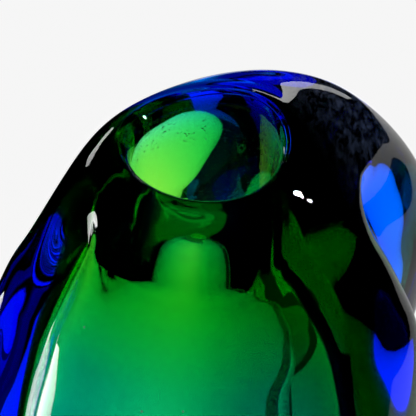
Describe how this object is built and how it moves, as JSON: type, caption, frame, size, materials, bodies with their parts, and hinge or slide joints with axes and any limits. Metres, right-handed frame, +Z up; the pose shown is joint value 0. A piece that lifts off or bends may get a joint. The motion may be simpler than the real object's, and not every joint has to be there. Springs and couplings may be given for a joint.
{
  "type": "vase",
  "caption": "Hand blown cased glass vase: green inner vessel, cobalt overlay and clear casing, pressed into soft uneven lobes.",
  "frame": {"origin": "on the ground base face, under the axis of the mouth", "axes": "+Z up along the mouth's axis, -Y towards the front of the vase, +X to its right"},
  "size_m": [0.0992, 0.0991, 0.2048],
  "materials": {
    "emerald_glass": "fire polished, transparent emerald green",
    "cobalt_glass": "transparent cobalt blue",
    "clear_glass": "fire polished, clear"
  },
  "bodies": {
    "root": {"emerald_core": "emerald_glass", "cobalt_overlay": "cobalt_glass", "clear_casing": "clear_glass"}
  },
  "joints": []
}
